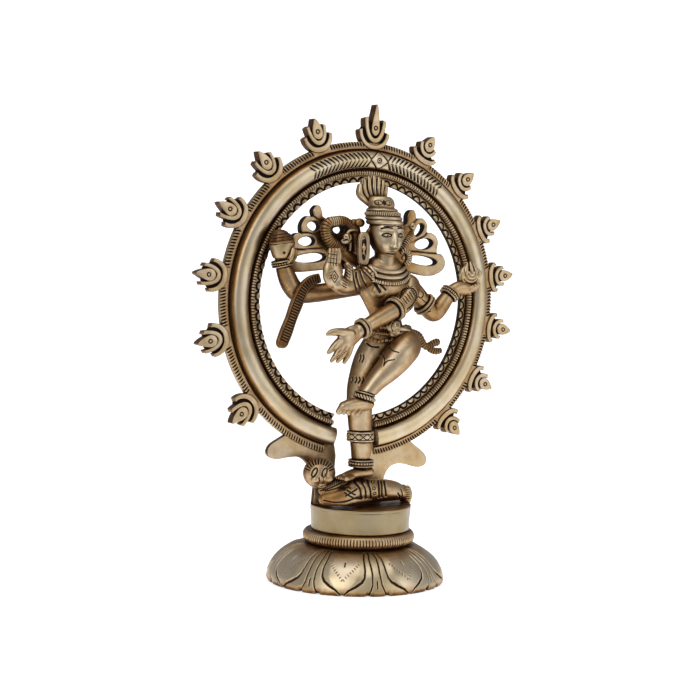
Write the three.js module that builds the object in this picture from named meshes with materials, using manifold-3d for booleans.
import * as THREE from 'three';
import { mergeVertices } from 'three/addons/utils/BufferGeometryUtils.js';
import Module from 'manifold-3d';

// Brass nataraja: a dancing figure inside a ring of flames, on a lotus base.
// Millimetres, +Z up, the figure faces -Y, the floor is Z = 0.
// The origin is the axis of the drum the dancer stands on.

const wasm = await Module();
wasm.setup();

const GAP = 0.3; // clearance left at every brazed or cut seat

// ---- base stack ----
const BASE_SHIFT = -2.1; // the base sits a little off the drum's axis
const BASE_RADIUS = 37.4;
const BASE_WALL = 2.4;
const BASE_TOP = 15.7;
const PETALS = 8;
const PETAL_TURN = 6.4 * Math.PI / 180;
const RIM_SCALLOPS = 16;
const ROPE_SHIFT = -0.7;
const ROPE_RADIUS = 23.6;
const ROPE_BORE = 14;
const ROPE_RIBS = 112;
const ROPE_BOTTOM = BASE_TOP + GAP;
const ROPE_TOP = 21.5;
const DRUM_BOTTOM = ROPE_TOP + GAP;
const DRUM_TOP = 32.2;
const DRUM_RADIUS_LOW = 20.7;
const DRUM_RADIUS_HIGH = 21.4;
const DRUM_ROOF = 4; // brass left above the blind hole for the stud
const STUD_RADIUS = 3;
const NUT_ACROSS = 11;
const NUT_HEIGHT = 4.6;
const WASHER_RADIUS = 8;
const WASHER_HEIGHT = 1.2;

// ---- flame ring ----
const RING_X = 0;
const RING_Z = 118;
const RING_TILT = 4.5 * Math.PI / 180; // the ring leans to the right
const RING_INNER = 49.2;
const RING_OUTER = 66.2;
const PLATE_FRONT = 2.6;
const PLATE_BACK = 5.4;
const MOUTH = 11 * Math.PI / 180; // half angle of the opening between the feet
const BEAD_MOUTH = 8.8 * Math.PI / 180;
const SCALLOP_BAND = [49.4, 51.6];
const ROPE_BAND = [51.9, 54.4];
const BEAD_BAND = [54.8, 62.4];
const BEAD_RISE = 4;
const FLAME_REACH = 73.3; // ring axis to the eye of each flame
const FLAME_FRONT = 0.8;
// Flame shapes. Crescents: half width, foot, horn tips and thickness. Drop: half width, foot and tip.
const TALL_FLAME = { outer: [6.8, -8.7, -1.8, 2.1], middle: [4.55, -5.6, 2.3, 1.7], drop: [2.45, -3.2, 5.5] };
const LOW_FLAME = { outer: [6.6, -8.4, -4.4, 2.1], middle: [4.4, -5.4, -0.8, 1.7], drop: [2.45, -3.2, 4.2] };
const APEX_FLAME = { outer: [7.4, -8.9, -1.6, 1.9], middle: [5.2, -6.1, 3.7, 1.85], drop: [1.9, -3.2, 9.84] };
const APEX_REACH = 72.3;
const TOP_FLAME = 2.9; // degrees from straight up
const LEFT_FLAMES = [-19.3, -40.7, -60.3, -82.1, -103.1, -129.2];
const RIGHT_FLAMES = [25.1, 44.2, 63.0, 81.4, 100.1, 120.3, 139.5];

// ---------------------------------------------------------------- helpers

function signedVolume(position, index) {
  const a = new THREE.Vector3();
  const b = new THREE.Vector3();
  const c = new THREE.Vector3();
  let sum = 0;
  for (let i = 0; i < index.length; i += 3) {
    a.fromArray(position, 3 * index[i]);
    b.fromArray(position, 3 * index[i + 1]);
    c.fromArray(position, 3 * index[i + 2]);
    sum += a.dot(b.cross(c));
  }
  return sum;
}

// A closed three.js surface as a solid; collapsed pole triangles are dropped.
function solid(geometry) {
  const bare = geometry.clone();
  bare.deleteAttribute('normal');
  bare.deleteAttribute('uv');
  const merged = mergeVertices(bare, 1e-4);
  const index = [];
  const all = merged.index.array;
  for (let i = 0; i < all.length; i += 3) {
    const [a, b, c] = [all[i], all[i + 1], all[i + 2]];
    if (a !== b && b !== c && a !== c) index.push(a, b, c);
  }
  const position = merged.attributes.position.array;
  if (signedVolume(position, index) < 0) index.reverse();
  return new wasm.Manifold(new wasm.Mesh({
    numProp: 3,
    vertProperties: new Float32Array(position),
    triVerts: new Uint32Array(index),
  }));
}

// The biggest single piece of a solid that a cut has split.
function largest(body) {
  const pieces = body.decompose();
  return pieces.reduce((best, piece) => (piece.volume() > best.volume() ? piece : best));
}

function toGeometry(body) {
  const mesh = body.getMesh();
  const geometry = new THREE.BufferGeometry();
  geometry.setAttribute('position', new THREE.BufferAttribute(new Float32Array(mesh.vertProperties), 3));
  geometry.setIndex(new THREE.BufferAttribute(new Uint32Array(mesh.triVerts), 1));
  geometry.computeVertexNormals();
  return geometry;
}

// Joins rings of points, all the same length, into a closed skin with flat ends.
function skin(rings, closedLoop = false) {
  const count = rings[0].length;
  const position = [];
  const index = [];
  rings.forEach((ring) => ring.forEach((p) => position.push(p.x, p.y, p.z)));
  const last = closedLoop ? rings.length : rings.length - 1;
  for (let i = 0; i < last; i += 1) {
    const low = i * count;
    const high = ((i + 1) % rings.length) * count;
    for (let j = 0; j < count; j += 1) {
      const k = (j + 1) % count;
      index.push(low + j, low + k, high + k, low + j, high + k, high + j);
    }
  }
  if (!closedLoop) {
    [0, rings.length - 1].forEach((i) => {
      const middle = rings[i].reduce((sum, p) => sum.add(p), new THREE.Vector3());
      middle.divideScalar(count);
      const tip = position.length / 3;
      position.push(middle.x, middle.y, middle.z);
      for (let j = 0; j < count; j += 1) {
        const a = i * count + j;
        const b = i * count + ((j + 1) % count);
        index.push(...(i === 0 ? [tip, b, a] : [tip, a, b]));
      }
    });
  }
  const geometry = new THREE.BufferGeometry();
  geometry.setAttribute('position', new THREE.Float32BufferAttribute(position, 3));
  geometry.setIndex(index);
  return solid(geometry);
}

// A round-ended limb through stations [x, y, z, radius]; squash flattens it in Y.
function limb(stations, { sides = 10, steps = 8, squash = 1, grow = 0 } = {}) {
  const path = new THREE.CatmullRomCurve3(stations.map(([x, y, z]) => new THREE.Vector3(x, y, z)));
  const size = new THREE.CatmullRomCurve3(stations.map((s) => new THREE.Vector3(s[3] + grow, 0, 0)));
  const rings = [];
  const side = new THREE.Vector3(0, 1, 0);
  const addRing = (centre, along, radius) => {
    const across = new THREE.Vector3().crossVectors(along, side).normalize();
    side.crossVectors(across, along).normalize();
    rings.push(Array.from({ length: sides }, (_, j) => {
      const turn = 2 * Math.PI * j / sides;
      const spoke = across.clone().multiplyScalar(Math.cos(turn) * radius);
      spoke.addScaledVector(side, Math.sin(turn) * radius);
      spoke.y *= squash;
      return spoke.add(centre);
    }));
  };
  const cap = (t, way) => {
    const centre = path.getPoint(t);
    const along = path.getTangent(t);
    const radius = size.getPoint(t).x;
    return [80, 45].map((degrees) => {
      const bend = degrees * Math.PI / 180;
      const reach = centre.clone().addScaledVector(along, way * radius * Math.sin(bend));
      return [reach, along, radius * Math.cos(bend)];
    });
  };
  cap(0, -1).forEach((ring) => addRing(...ring));
  for (let i = 0; i <= steps; i += 1) {
    const t = i / steps;
    addRing(path.getPoint(t), path.getTangent(t), size.getPoint(t).x);
  }
  cap(1, 1).reverse().forEach((ring) => addRing(...ring));
  return skin(rings);
}

function ball([x, y, z], [rx, ry, rz], grow = 0, detail = 14) {
  const geometry = new THREE.SphereGeometry(1, detail, Math.round(detail * 0.7));
  geometry.rotateX(Math.PI / 2);
  geometry.scale(rx + grow, ry + grow, rz + grow);
  geometry.translate(x, y, z);
  return solid(geometry);
}

function box(x0, x1, y0, y1, z0, z1) {
  const geometry = new THREE.BoxGeometry(x1 - x0, y1 - y0, z1 - z0);
  geometry.translate((x0 + x1) / 2, (y0 + y1) / 2, (z0 + z1) / 2);
  return solid(geometry);
}

function turned(profile, x = 0, segments = 64) {
  const geometry = new THREE.LatheGeometry(profile.map(([r, z]) => new THREE.Vector2(r, z)), segments);
  geometry.rotateX(Math.PI / 2);
  geometry.translate(x, 0, 0);
  return solid(geometry);
}

// A flat shape drawn in X and Z, standing between two Y planes.
function plate(shape, front, back, curveSegments = 12) {
  const geometry = new THREE.ExtrudeGeometry(shape, {
    depth: back - front, bevelEnabled: false, curveSegments,
  });
  geometry.rotateX(Math.PI / 2);
  geometry.translate(0, back, 0);
  return solid(geometry);
}

function polygon(points) {
  return new THREE.Shape(points.map(([x, z]) => new THREE.Vector2(x, z)));
}

// A closed band round a limb: centre, axis, bore radius and length.
function bangle(centre, axis, bore, width, sides = 14) {
  const outer = bore + 1.3;
  const half = width / 2;
  const geometry = new THREE.LatheGeometry([
    [bore, -half], [outer - 0.4, -half], [outer, 0], [outer - 0.4, half], [bore, half], [bore, -half],
  ].map(([r, z]) => new THREE.Vector2(r, z)), sides);
  const turn = new THREE.Quaternion();
  turn.setFromUnitVectors(new THREE.Vector3(0, 1, 0), new THREE.Vector3(...axis).normalize());
  geometry.applyQuaternion(turn);
  geometry.translate(...centre);
  return solid(geometry);
}

// Points of the ring's own frame: angle from its apex, clockwise from the front.
function onRing(angle, radius) {
  const t = angle + RING_TILT;
  return [RING_X + radius * Math.sin(t), RING_Z + radius * Math.cos(t)];
}

// ---------------------------------------------------------------- base

function baseLotus() {
  const outline = [
    [36.8, 0], [37.3, 0.7], [BASE_RADIUS, 1.7], [37.0, 3.4], [36.0, 5.8], [34.5, 8.3],
    [32.2, 10.8], [28.9, 13.2], [25.6, 14.9], [21, BASE_TOP],
  ];
  const sectors = 56;
  const rings = outline.map(([radius, z], row) => {
    const swell = Math.sin(Math.PI * row / (outline.length - 1));
    return Array.from({ length: sectors }, (_, j) => {
      const turn = 2 * Math.PI * j / sectors;
      const petal = 0.35 * swell * Math.cos(PETALS * (turn - PETAL_TURN));
      const notch = row < 2 ? 0.4 * Math.abs(Math.cos(RIM_SCALLOPS * turn / 2)) - 0.4 : 0;
      const r = radius + petal + notch;
      return new THREE.Vector3(BASE_SHIFT + r * Math.cos(turn), r * Math.sin(turn), z);
    });
  });
  const inside = outline.slice(0, -2).map(([radius, z]) => [radius - BASE_WALL, z]);
  const ceiling = BASE_TOP - BASE_WALL;
  const hollow = [[0, -1], [inside[0][0], -1], ...inside, [20, ceiling], [0, ceiling]];
  const bore = [[0, 0], [STUD_RADIUS + GAP, 0], [STUD_RADIUS + GAP, 30], [0, 30]];
  return skin(rings).subtract(turned(hollow, BASE_SHIFT, 28)).subtract(turned(bore, 0, 20));
}

function ropeRing() {
  const middle = (ROPE_BOTTOM + ROPE_TOP) / 2;
  const sectors = 2 * ROPE_RIBS;
  const rings = Array.from({ length: sectors }, (_, j) => {
    const turn = 2 * Math.PI * j / sectors;
    const crest = ROPE_RADIUS - (j % 2 ? 0.35 : 0);
    const column = [
      [ROPE_BORE, ROPE_BOTTOM], [crest, middle - 1.8], [crest, middle + 1.8], [ROPE_BORE, ROPE_TOP],
    ];
    return column.map(([r, z]) => {
      return new THREE.Vector3(ROPE_SHIFT + r * Math.cos(turn), r * Math.sin(turn), z);
    });
  });
  return skin(rings, true);
}

function baseDrum() {
  const bore = STUD_RADIUS + GAP;
  const depth = DRUM_TOP - DRUM_ROOF;
  return turned([
    [bore, DRUM_BOTTOM], [DRUM_RADIUS_LOW, DRUM_BOTTOM], [DRUM_RADIUS_HIGH - 0.1, DRUM_TOP - 0.6],
    [DRUM_RADIUS_HIGH - 0.6, DRUM_TOP], [0, DRUM_TOP], [0, depth], [bore, depth], [bore, DRUM_BOTTOM],
  ], 0, 40);
}

const NUT_TOP = BASE_TOP - BASE_WALL - GAP - WASHER_HEIGHT - GAP;

function baseStud() {
  const chamfer = 0.5;
  const low = NUT_TOP - NUT_HEIGHT - 1.5;
  const high = DRUM_TOP - DRUM_ROOF - GAP;
  return turned([
    [0, low], [STUD_RADIUS - chamfer, low], [STUD_RADIUS, low + chamfer], [STUD_RADIUS, high], [0, high],
  ], 0, 20);
}

function baseWasher() {
  const bore = STUD_RADIUS + GAP;
  const top = BASE_TOP - BASE_WALL - GAP;
  const low = top - WASHER_HEIGHT;
  return turned([[bore, low], [WASHER_RADIUS, low], [WASHER_RADIUS, top], [bore, top], [bore, low]], 0, 20);
}

function baseNut() {
  const corner = NUT_ACROSS / Math.sqrt(3);
  const shape = polygon(Array.from({ length: 6 }, (_, j) => {
    return [corner * Math.cos(j * Math.PI / 3), corner * Math.sin(j * Math.PI / 3)];
  }));
  const hole = new THREE.Path();
  hole.absarc(0, 0, STUD_RADIUS + GAP, 0, 2 * Math.PI, true);
  shape.holes.push(hole);
  const geometry = new THREE.ExtrudeGeometry(shape, {
    depth: NUT_HEIGHT, bevelEnabled: false, curveSegments: 12,
  });
  geometry.translate(0, 0, NUT_TOP - NUT_HEIGHT);
  return solid(geometry);
}

// ---------------------------------------------------------------- flame ring

// Band of the ring between two radii, open at the bottom, with a rippled face.
function ringBand([inner, outer], back, face, steps, mouth) {
  const rings = Array.from({ length: steps + 1 }, (_, i) => {
    const angle = -Math.PI + mouth + (2 * Math.PI - 2 * mouth) * i / steps;
    return face.map(([across, rise]) => {
      const [x, z] = onRing(angle, inner + (outer - inner) * across);
      return new THREE.Vector3(x, back - rise, z);
    });
  });
  return skin(rings);
}

function ringPlate() {
  const steps = 72;
  const shape = new THREE.Shape();
  const end = Math.PI - MOUTH;
  for (let i = 0; i <= steps; i += 1) {
    const [x, z] = onRing(-end + 2 * end * i / steps, RING_OUTER);
    if (i === 0) shape.moveTo(x, z);
    else shape.lineTo(x, z);
  }
  for (let i = steps; i >= 0; i -= 1) shape.lineTo(...onRing(-end + 2 * end * i / steps, RING_INNER));
  shape.closePath();
  return plate(shape, PLATE_FRONT, PLATE_BACK);
}

// Lobed bracket and foot on one side, in the ring's own frame, side = -1 or 1.
function ringFoot(side, lift, trim, heel) {
  const own = ([u, v]) => {
    const cos = Math.cos(RING_TILT);
    const sin = Math.sin(RING_TILT);
    return [RING_X + u * side * cos + v * sin, RING_Z - u * side * sin + v * cos];
  };
  const curve = new THREE.SplineCurve([
    [28, -58], [33.5, -60.4], [39.0, -64.2], [39.8, -68.0], [36, -69.8], [30, -68.8], [25, -68.6],
    [21, -70.8], [heel, -76.5], [heel - 0.4, -90],
  ].map(([u, v]) => new THREE.Vector2(...own([u - trim, v + lift]))));
  const edge = curve.getPoints(24);
  const inner = [[5.6, -88], [5.8, -66], [9.4, -50.5], [20, -50]].map((p) => new THREE.Vector2(...own(p)));
  return plate(new THREE.Shape([...edge, ...inner]), PLATE_FRONT, PLATE_BACK);
}

function archPlate() {
  const below = box(-60, 60, -20, 20, 0, DRUM_TOP + GAP);
  return ringPlate().add(ringFoot(-1, 1.2, 1.6, 16.6)).add(ringFoot(1, 0, 0, 18.8)).subtract(below);
}

function archBead() {
  const face = [[0, 0], [0.08, 2.2], [0.34, BEAD_RISE], [0.66, BEAD_RISE], [0.92, 2.2], [1, 0]];
  return ringBand(BEAD_BAND, PLATE_FRONT - GAP, face, 72, BEAD_MOUTH);
}

function archRopeBand() {
  const face = [[0, 0], [0.08, 1.8], [0.3, 3.0], [0.7, 3.0], [0.92, 1.8], [1, 0]];
  return ringBand(ROPE_BAND, PLATE_FRONT - GAP, face, 72, MOUTH);
}

function archScallopBand() {
  const face = [[0, 0], [0, 1.0], [1, 0.8], [1, 0]];
  return ringBand(SCALLOP_BAND, PLATE_FRONT - GAP, face, 72, MOUTH);
}

// One flame: two nested crescents and a pointed drop, its foot lapping over the ring's rim.
function flame(degrees, { outer, middle, drop }, reach = FLAME_REACH) {
  const crescent = ([half, foot, horn, thick]) => {
    const rise = horn - foot;
    const waist = (half - thick) * 0.85;
    return polygon([
      [-half, horn], [-half * 0.94, foot + rise * 0.55], [-half * 0.5, foot + rise * 0.08],
      [half * 0.5, foot + rise * 0.08], [half * 0.94, foot + rise * 0.55], [half, horn],
      [half - thick, horn + 0.3], [waist, foot + thick + rise * 0.3], [0, foot + thick],
      [-waist, foot + thick + rise * 0.3], [-half + thick, horn + 0.3],
    ]);
  };
  const [wide, low, tip] = drop;
  const heart = polygon([
    [0, tip], [-wide, tip * 0.3], [-wide, low * 0.5], [0, low], [wide, low * 0.5], [wide, tip * 0.3],
  ]);
  const shoulder = middle[2] - 1;
  const web = polygon([
    [-5.2, outer[2] - 2], [0, outer[1] + 1], [5.2, outer[2] - 2], [3.6, shoulder], [-3.6, shoulder],
  ]);
  const body = plate(crescent(outer), FLAME_FRONT + 0.5, PLATE_BACK)
    .add(plate(crescent(middle), FLAME_FRONT + 0.2, PLATE_BACK))
    .add(plate(heart, FLAME_FRONT, PLATE_BACK))
    .add(plate(web, FLAME_FRONT + 1.3, PLATE_BACK));
  const turn = degrees * Math.PI / 180;
  const place = new THREE.Matrix4().makeTranslation(0, 0, reach);
  place.premultiply(new THREE.Matrix4().makeRotationY(turn));
  place.premultiply(new THREE.Matrix4().makeTranslation(RING_X, 0, RING_Z));
  const lap = PLATE_FRONT - GAP;
  const foot = RING_OUTER + GAP;
  const core = turned([[0, lap], [foot, lap], [foot, 10], [0, 10]], 0, 144);
  const rim = core.transform([1, 0, 0, 0, 0, 0, 1, 0, 0, 1, 0, 0, RING_X, 0, RING_Z, 1]);
  return largest(body.transform(place.toArray()).subtract(rim));
}

// ---------------------------------------------------------------- dwarf

const dwarfBody = (grow = 0) => limb([
  [-17.5, -6, 41.0, 3.2], [-12.5, -6, 39.6, 5.2], [-5, -6, 38.6, 4.9], [1, -6, 38.2, 4.6],
  [7, -6, 37.8, 4.6], [13, -6, 36.4, 3.2], [18, -6, 35.0, 2.2],
], { steps: 14, squash: 1.15, grow });

function dwarf() {
  const arm = limb([
    [-12, -11, 40.6, 2.6], [-16, -13, 36.4, 2.1], [-19.6, -12, 34.2, 1.9],
  ], { sides: 8, steps: 5 });
  const foot = box(17.4, 19.6, -9.6, -2.6, 32, 38.4);
  const floor = box(-40, 40, -30, 30, 20, DRUM_TOP + GAP);
  return dwarfBody().add(arm).add(foot).subtract(floor);
}

const dwarfHead = () => ball([-23.6, -5, 46.4], [6.5, 5.9, 6.5], 0, 14).subtract(dwarfBody(GAP));

// ---------------------------------------------------------------- dancer

const legStanding = (grow = 0) => limb([
  [2.8, -9, 101.5, 6.8], [-2.2, -8.6, 92, 7.1], [-5.6, -8.4, 82, 6.4], [-6.4, -8.2, 73, 5.5],
  [-5.9, -7.8, 65, 4.9], [-4.8, -7.4, 57, 4.4], [-4.6, -7, 50.5, 3.9],
], { steps: 12, grow });
const footStanding = (grow = 0) => limb([
  [-1.4, -7.2, 46.4, 2.5], [-7, -8.6, 46.4, 2.2], [-12.5, -10.2, 46.0, 1.9], [-16, -11, 45.4, 1.3],
], { steps: 6, grow });
const legRaised = (grow = 0) => limb([
  [10.5, -9.5, 100.5, 7.0], [9.5, -14, 99.8, 6.6], [5.6, -19, 98.4, 6.3], [0.8, -19.8, 92.8, 5.5],
  [-6.2, -20, 85.5, 4.2], [-11.6, -20, 79.4, 3.2],
], { steps: 12, grow });
const footRaised = (grow = 0) => limb([
  [-9.8, -19.8, 76.9, 3.0], [-13.8, -20.2, 76.7, 3.0], [-19, -20.6, 76.3, 2.7], [-23.2, -20.8, 75.9, 1.8],
], { steps: 6, grow });
const hipBody = (grow = 0) => limb([
  [5.4, -9, 101, 7.6], [5.2, -9, 105, 8.2], [4.6, -9, 109, 7.0],
], { steps: 5, squash: 0.85, grow });
const torsoBody = (grow = 0) => limb([
  [4.2, -9, 108, 6.0], [4.0, -9, 112.5, 6.6], [3.2, -9.3, 118, 9.4], [3.0, -9.5, 123.5, 12.2],
  [2.8, -9.8, 128.6, 9.0],
], { sides: 16, steps: 10, squash: 0.62, grow });
const headBody = (grow = 0) => ball([2.0, -12, 145.6], [7.4, 7.4, 9.5], grow, 16)
  .add(limb([[3.0, -10.4, 129.5, 4.6], [2.4, -11.6, 137.5, 4.2]], { steps: 3, grow }));
const crownBody = (grow = 0) => skin([
  [149.6, 6.8], [150.8, 7.8], [154.6, 7.6], [155.6, 6.4], [156.8, 5.6], [158.6, 5.9],
  [160.2, 5.0], [161.3, 3.0],
].map(([z, radius]) => Array.from({ length: 18 }, (_, j) => {
  const turn = 2 * Math.PI * j / 18;
  const lean = 1.4 - 0.27 * (z - 150);
  const end = z < 150 ? -grow : grow * (z > 161);
  return new THREE.Vector3(
    lean + (radius + grow) * Math.cos(turn), -12 + 0.93 * (radius + grow) * Math.sin(turn), z + end,
  );
})));

const armFrontRight = (grow = 0) => limb([
  [-6, -10.5, 128.4, 4.8], [-13, -14, 126.8, 4.6], [-20.5, -18.2, 124.2, 3.5], [-25, -20, 125.6, 3.0],
  [-26.4, -20.4, 129, 2.7],
], { steps: 9, grow }).add(limb([
  [-26.4, -20.4, 128, 3.3], [-27.0, -20.4, 132.5, 3.2], [-27.2, -20.4, 137.5, 1.8],
], { sides: 10, steps: 5, squash: 0.6, grow }));
const armFrontLeft = (grow = 0) => limb([
  [15.5, -10, 124.5, 4.6], [11.5, -14.4, 119.2, 4.4], [4, -17.2, 115.2, 3.6], [-6, -20, 110.9, 3.3],
  [-15.5, -22, 106.8, 2.7],
], { steps: 10, grow }).add(limb([
  [-14.6, -21.9, 107.2, 2.8], [-19.8, -22.6, 104, 4.3], [-24.4, -23, 99.6, 4.6], [-27.6, -23, 95.4, 3.0],
], { sides: 10, steps: 6, squash: 0.55, grow })).add(limb([
  [-21, -22.8, 104.8, 1.6], [-26, -23, 105.8, 1.3], [-29.8, -23, 105.2, 0.8],
], { sides: 8, steps: 4, grow }));
const armRearRight = (grow = 0) => limb([
  [-6, -7.6, 124.2, 3.8], [-18, -6.6, 122.6, 3.6], [-30, -6.2, 121.2, 3.6], [-37.2, -6, 122.2, 3.9],
  [-41, -6, 128, 3.7], [-43.4, -6, 134, 3.1], [-43.6, -6, 138, 3.4],
], { steps: 14, grow });
const armRearLeft = (grow = 0) => limb([
  [15.5, -8.4, 124.8, 4.6], [22.5, -8, 118.6, 3.9], [28.6, -7.8, 112.6, 3.7], [32.6, -7.8, 115.6, 3.5],
  [38.4, -7.8, 122.3, 2.9], [42.6, -7.8, 124.6, 2.8], [46.8, -7.8, 125.4, 2.0],
], { steps: 13, grow });

// A domed drum on a short cup: height, radius and sideways place of each ring.
const handDrum = (grow = 0) => skin([
  [135.4, 3.4, -44.0], [137.4, 4.3, -43.9], [139.6, 5.0, -43.6], [141.6, 5.25, -43.6],
  [143.4, 4.8, -43.9], [145.2, 3.7, -44.6], [146.4, 2.2, -45.2],
].map(([z, radius, x], i) => Array.from({ length: 20 }, (_, j) => {
  const turn = 2 * Math.PI * j / 20;
  const wide = radius + grow;
  const end = i === 0 ? -grow : grow * (i === 6);
  return new THREE.Vector3(x + wide * Math.cos(turn), -6.2 + 0.9 * wide * Math.sin(turn), z + end);
})));

function flameBall() {
  const lobe = (x, z, tip, lean) => limb([
    [x, -8, z, 2.2], [x + lean, -8, z + 3, 1.7], [x + lean * 1.8, -8, tip, 0.7],
  ], { sides: 7, steps: 2 });
  return lobe(44.8, 128.8, 134.2, -0.8).add(lobe(47.6, 128.6, 134.6, 0.6)).add(lobe(46.2, 128.2, 132.2, 0));
}

function hangingSnake() {
  const strip = polygon([
    [-37.4, 126.5], [-32.4, 123.5], [-34.4, 118.6], [-37.8, 112], [-42.2, 101.2], [-44.4, 98.8],
    [-46.6, 98.6], [-48.2, 100.6], [-48, 103.6], [-44.8, 112.5], [-41, 121],
  ]);
  return plate(strip, -11.8, -9.4).subtract(armRearRight(GAP));
}

// Pierced fans of hair beside the head: outline points and holes [x, z, half length, half height, lean].
const FAN_LEFT = {
  edge: [
    [-6, 150], [-12, 149.6], [-18, 150.6], [-22.3, 152.3], [-22.9, 154], [-23.7, 156.2], [-24.9, 157],
    [-26.2, 156.3], [-27.2, 154.7], [-27, 152.6], [-29.4, 152.4], [-31.2, 151.1], [-32.4, 148.9],
    [-32.5, 146.7],
    [-32.3, 145.4], [-35.3, 144.9], [-36.3, 143.5], [-36.1, 141], [-36.4, 139], [-38, 137.6], [-38.4, 134.6],
    [-37.8, 131.4], [-35.5, 129.5], [-22.9, 130.4], [-6, 133],
  ],
  holes: [
    [-26.9, 148.4, 2.9, 1.7, -0.16], [-29.9, 142.1, 3.8, 1.7, 0.05], [-28.2, 135.3, 7.3, 1.7, 0.08],
    [-15.1, 147.1, 2.6, 1.6, 0],
  ],
};
const FAN_RIGHT = {
  edge: [
    [6, 150], [13, 149.6], [18, 150.2], [18.7, 154], [19.8, 155.8], [21.4, 156.4], [22.6, 155.1],
    [23.1, 152.8],
    [26.3, 152.9], [28.1, 151.3], [28.8, 149.4], [28.7, 147.2], [31, 146.8], [33.2, 145.4], [34.4, 143],
    [33.9, 140], [34.1, 138.2], [36.4, 137.7], [38.2, 135.1], [37.8, 132.1], [35.1, 129.8], [30.8, 128.5],
    [26.1, 128.9], [20.6, 130], [6, 133],
  ],
  holes: [[24.6, 148, 3.1, 1.7, 0.94], [27.2, 142.1, 4.5, 2.1, 0.13], [26.5, 135.1, 7.4, 1.75, -0.11]],
};

function hairFan({ edge, holes }) {
  const curve = new THREE.SplineCurve(edge.map((point) => new THREE.Vector2(...point)));
  const shape = new THREE.Shape(curve.getPoints(54));
  holes.forEach(([x, z, long, high, lean]) => {
    const path = new THREE.Path();
    path.absellipse(x, z, long, high, 0, 2 * Math.PI, false, lean);
    shape.holes.push(path);
  });
  return plate(shape, -2.6, 1.6, 6);
}

// Snakes of hair between head and fan: a wide loop with a knot on the left, a short hook on the right.
function hairCurlLeft() {
  const snake = limb([
    [-8, -6.2, 146.6, 1.9], [-11, -6, 147.9, 2.0], [-13.3, -6, 150, 2.1], [-16.2, -6, 150.7, 2.2],
    [-21.7, -6, 149.8, 2.3], [-23.1, -6, 147, 2.3], [-21.9, -6, 143.2, 2.2], [-19.7, -6, 141.4, 2.1],
    [-13.5, -6.4, 138.4, 2.0],
  ], { sides: 8, steps: 20 });
  const knot = limb([
    [-12.6, -7.6, 147, 1.5], [-14.2, -8.6, 145.6, 1.7], [-15, -8.9, 143.8, 2.2], [-15.4, -8.4, 142, 1.8],
    [-14.6, -7, 139.4, 1.4],
  ], { sides: 8, steps: 6 });
  const root = limb([
    [-9.2, -5.6, 149.6, 2.2], [-8.6, -5.6, 142, 2.6], [-8.4, -5.6, 135, 2.4],
  ], { sides: 8, steps: 4 });
  const under = limb([[-8, -5.6, 135.2, 2.4], [-13.6, -6.4, 137, 2.0]], { sides: 8, steps: 2 });
  return largest(snake.add(knot).add(root).add(under).subtract(headBody(GAP)).subtract(crownBody(GAP))
    .subtract(earring(-1, GAP)));
}

function hairCurlRight() {
  const snake = limb([
    [11, -8, 138.8, 1.4], [13.2, -8, 140.7, 1.5], [15.6, -7.8, 143.9, 1.5], [17.1, -7.4, 147.2, 1.4],
    [18.2, -7, 149.3, 1.7],
  ], { sides: 8, steps: 10 });
  const root = limb([
    [13.4, -7.4, 142, 1.8], [9, -6.4, 144.4, 2.4], [6, -7, 146, 2.4],
  ], { sides: 8, steps: 3 });
  return largest(snake.add(root).subtract(headBody(GAP)).subtract(earring(1, GAP)));
}

// A long bar on the left, a short bud on the right.
function earring(side, grow = 0) {
  const long = side < 0 ? 13.2 : 8.4;
  const x = side < 0 ? -9.1 : 11.2;
  const top = side < 0 ? 146.2 : 141.6;
  return limb([
    [x, -12.4, top - 2.2, 2.2], [x, -12.6, top - long / 2, 2.4], [x, -12.6, top - long + 2.2, 2.2],
  ], { sides: 8, steps: 3, grow });
}

function crownFeathers() {
  const fan = polygon([
    [-5.8, 157.6], [-8.8, 161], [-10.8, 164.6], [-10.2, 167], [-6.6, 169.2], [-3.6, 169.6], [-0.8, 168.8],
    [2.6, 165.8], [2.2, 162], [0.8, 157.6],
  ]);
  return plate(fan, -12.2, -8.6);
}

function sashTail() {
  return limb([[12, -9, 105, 2.4], [18.5, -9, 102.6, 1.9], [23, -9, 98.4, 1.9]], { sides: 7, steps: 3 })
    .add(limb([[23, -9, 97.8, 1.9], [27.5, -9, 98.8, 2.0], [32, -9, 100.4, 1.5]], { sides: 7, steps: 2 }))
    .add(limb([[23, -9, 97.4, 1.8], [28, -9, 96.2, 1.5], [33, -9, 96.6, 0.9]], { sides: 7, steps: 2 }));
}

function necklace() {
  const count = 20;
  const rings = Array.from({ length: count }, (_, i) => {
    const turn = 2 * Math.PI * i / count;
    const front = Math.max(0, -Math.sin(turn));
    const centre = new THREE.Vector3(
      3.2 + 7.4 * Math.cos(turn), -10.0 + 7.2 * Math.sin(turn), 131.4 - 5.6 * front ** 2,
    );
    const out = new THREE.Vector3(Math.cos(turn), Math.sin(turn), 0.6).normalize();
    const up = new THREE.Vector3(0, 0, 1);
    return Array.from({ length: 6 }, (_, j) => {
      const roll = 2 * Math.PI * j / 6;
      const point = centre.clone().addScaledVector(out, 1.1 * Math.cos(roll));
      return point.addScaledVector(up, 1.1 * Math.sin(roll));
    });
  });
  return skin(rings, true);
}

// Waist belt round the hips, cut where the thighs pass it.
function belt(grow = 0) {
  const section = [[7.4, -3], [9.2, -3], [10.1, -2.2], [10.1, 2.2], [9.2, 3], [7.4, 3]];
  const rings = Array.from({ length: 24 }, (_, i) => {
    const turn = 2 * Math.PI * i / 24;
    const spoke = new THREE.Vector3(Math.cos(turn), 0.9 * Math.sin(turn), 0);
    return section.map(([radius, up]) => {
      const out = radius > 8 ? radius + grow : radius;
      const centre = new THREE.Vector3(5.2, -9, 103.6 + up + Math.sign(up) * grow);
      return centre.addScaledVector(spoke, out);
    });
  });
  return skin(rings, true);
}

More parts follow.
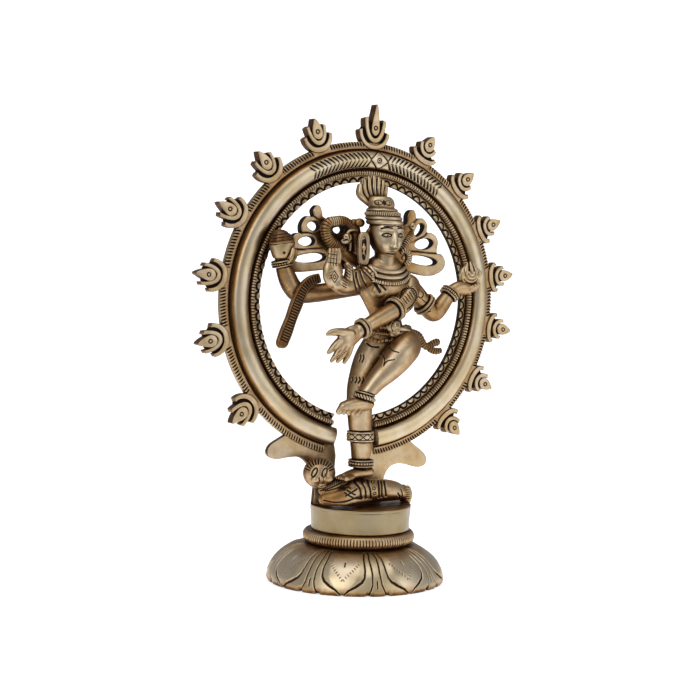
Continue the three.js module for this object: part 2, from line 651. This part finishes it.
const beltHead = () => ball([5.0, -17.2, 106.7], [4.4, 2.6, 2.8], 0, 10);

// Bangles, armlets and anklets: name, centre, axis, bore and width.
const TRIM = [
  ['anklet_standing', [-4.6, -7.1, 50.5], [0, 0, 1], 4.5, 3.0],
  ['garter_standing', [-5.5, -7.65, 61.8], [0, 0, 1], 5.4, 4.2],
  ['anklet_raised', [-11.6, -20, 79.9], [0.35, 0, 0.94], 4.0, 2.4],
  ['bangle_front_left', [-13.9, -21.7, 107.5], [0.92, 0.18, 0.38], 3.3, 2.8],
  ['bangle_rear_right', [-43.1, -6, 133.2], [-0.24, 0, 0.97], 3.7, 2.6],
  ['bangle_rear_left', [37.4, -7.8, 121.2], [0.66, 0, 0.75], 3.5, 3.0],
  ['armlet_front_left', [4.0, -17.2, 115.1], [0.9, 0.33, 0.42], 4.0, 2.7],
  ['armlet_rear_left', [24.6, -7.9, 116.6], [0.76, 0, -0.65], 4.3, 2.7],
];

// ---------------------------------------------------------------- assembly

const BRASS = 0xb08d57;
const group = new THREE.Group();
group.name = 'nataraja_statue';

function add(name, body, roughness = 0.35) {
  const mesh = new THREE.Mesh(toGeometry(body), new THREE.MeshStandardMaterial({
    color: BRASS, metalness: 1, roughness, name: 'brass',
  }));
  mesh.name = name;
  group.add(mesh);
}

add('base_lotus', baseLotus());
add('base_rope_ring', ropeRing());
add('base_drum', baseDrum());
add('base_stud', baseStud());
add('base_washer', baseWasher());
add('base_nut', baseNut());
add('arch_plate', archPlate());
add('arch_bead', archBead());
add('arch_rope_band', archRopeBand());
add('arch_scallop_band', archScallopBand());
add('flame_top', flame(TOP_FLAME, APEX_FLAME, APEX_REACH));
LEFT_FLAMES.forEach((angle, i) => add(`flame_left_${i + 1}`, flame(angle, TALL_FLAME)));
RIGHT_FLAMES.forEach((angle, i) => add(`flame_right_${i + 1}`, flame(angle, LOW_FLAME)));

const keepOff = torsoBody(GAP).add(hipBody(GAP));
const raised = legRaised().add(footRaised());
const raisedWide = legRaised(GAP).add(footRaised(GAP));
const standing = legStanding().add(footStanding());
add('dwarf_body', largest(dwarf().subtract(footStanding(GAP))));
add('dwarf_head', largest(dwarfHead()));
add('torso', torsoBody());
add('hips', largest(hipBody().subtract(torsoBody(GAP))));
add('leg_raised', largest(raised.subtract(keepOff)));
add('leg_standing', largest(standing.subtract(keepOff).subtract(raisedWide)));
add('head', largest(headBody().subtract(torsoBody(GAP)).subtract(crownBody(GAP))));
add('crown', crownBody());
add('crown_feathers', largest(crownFeathers().subtract(crownBody(GAP))));
const dancerFront = [torsoBody(GAP), headBody(GAP), armFrontRight(GAP)];
add('necklace', largest(dancerFront.reduce((rest, cutter) => rest.subtract(cutter), necklace())));
add('arm_front_right', largest(armFrontRight().subtract(torsoBody(GAP)).subtract(armRearRight(GAP))));
add('arm_front_left', largest(armFrontLeft().subtract(torsoBody(GAP)).subtract(armRearLeft(GAP))));
add('arm_rear_right', largest(armRearRight().subtract(torsoBody(GAP)).subtract(handDrum(GAP))));
add('arm_rear_left', largest(armRearLeft().subtract(torsoBody(GAP))));
add('hand_drum', handDrum());
TRIM.forEach(([name, centre, axis, bore, width]) => {
  const ring = bangle(centre, axis, bore, width);
  const clear = { armlet_front_left: keepOff, anklet_raised: raisedWide }[name];
  add(name, clear ? largest(ring.subtract(clear)) : ring);
});
add('belt', largest(belt().subtract(keepOff).subtract(raisedWide).subtract(legStanding(GAP))));
add('belt_head', largest(beltHead().subtract(keepOff).subtract(raisedWide).subtract(belt(GAP))));
add('flame_ball', largest(flameBall().subtract(armRearLeft(GAP))));
add('hanging_snake', largest(hangingSnake()));
add('hair_fan_left', hairFan(FAN_LEFT));
add('hair_fan_right', hairFan(FAN_RIGHT));
add('hair_curl_left', hairCurlLeft());
add('hair_curl_right', hairCurlRight());
add('earring_left', earring(-1));
add('earring_right', earring(1));
add('sash_tail', largest(sashTail().subtract(hipBody(GAP)).subtract(raisedWide).subtract(belt(GAP))));

export default group;
